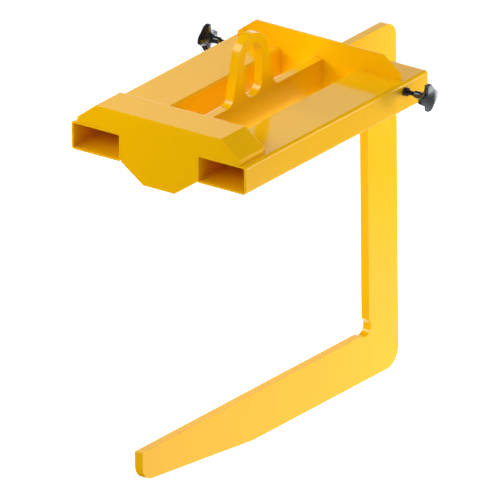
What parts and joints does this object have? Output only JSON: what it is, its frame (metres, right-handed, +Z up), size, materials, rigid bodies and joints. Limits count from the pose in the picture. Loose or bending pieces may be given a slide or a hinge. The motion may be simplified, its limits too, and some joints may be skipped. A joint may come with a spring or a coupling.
{
  "type": "coil hook",
  "caption": "Welded steel C-hook with fork pockets, a lifting eye and clamp screws, for carrying coils on a lift truck or a crane.",
  "frame": {"origin": "midway between the fork pockets, at their rear (fork entry) ends and at half their height", "axes": "+X to the right seen from the hook's tip, square to the hook plate; +Y out of the fork pockets towards the rear leg; +Z up"},
  "size_m": [0.742, 1.142, 1.1517],
  "materials": {
    "yellow_paint": "glossy powder coat",
    "black_plastic": "moulded, satin",
    "black_oxide_steel": "blackened and oiled",
    "bare_steel": "turned"
  },
  "bodies": {
    "frame": {"hook_plate": "yellow_paint", "fork_pocket_left": "yellow_paint", "fork_pocket_right": "yellow_paint", "front_plate": "yellow_paint", "front_cover": "yellow_paint", "rear_plate": "yellow_paint", "weld_hook_front": "yellow_paint", "weld_hook_rear": "yellow_paint", "weld_front_plate_left": "yellow_paint", "weld_front_plate_right": "yellow_paint", "weld_rear_plate_left": "yellow_paint", "weld_rear_plate_right": "yellow_paint", "weld_cover_left": "yellow_paint", "weld_cover_right": "yellow_paint", "weld_cover_front": "yellow_paint", "clamp_nut_left": "black_oxide_steel", "clamp_nut_right": "black_oxide_steel"},
    "pad_left": {"thrust_pad_left": "bare_steel", "pad_ring_left": "bare_steel"},
    "screw_left": {"clamp_stud_left": "black_oxide_steel", "clamp_knob_left": "black_plastic", "knob_bush_left": "bare_steel"},
    "pad_right": {"thrust_pad_right": "bare_steel", "pad_ring_right": "bare_steel"},
    "screw_right": {"clamp_stud_right": "black_oxide_steel", "clamp_knob_right": "black_plastic", "knob_bush_right": "bare_steel"}
  },
  "joints": [
    {"name": "pad_left_slide", "type": "slide", "parent": "frame", "child": "pad_left", "axis": [1, 0, 0], "range_m": [0, 0.021]},
    {"name": "screw_left_turn", "type": "hinge", "parent": "pad_left", "child": "screw_left", "pos_m": [-0.3, -0.102, 0.016], "axis": [1, 0, 0], "range_deg": [0, 4320]},
    {"name": "pad_right_slide", "type": "slide", "parent": "frame", "child": "pad_right", "axis": [-1, 0, 0], "range_m": [0, 0.021]},
    {"name": "screw_right_turn", "type": "hinge", "parent": "pad_right", "child": "screw_right", "pos_m": [0.3, -0.102, 0.016], "axis": [-1, 0, 0], "range_deg": [0, 4320]}
  ],
  "couplings": [
    {"joint": "screw_left_turn", "follows": "pad_left_slide", "rad_per_m": 3590.4},
    {"joint": "screw_right_turn", "follows": "pad_right_slide", "rad_per_m": 3590.4}
  ]
}
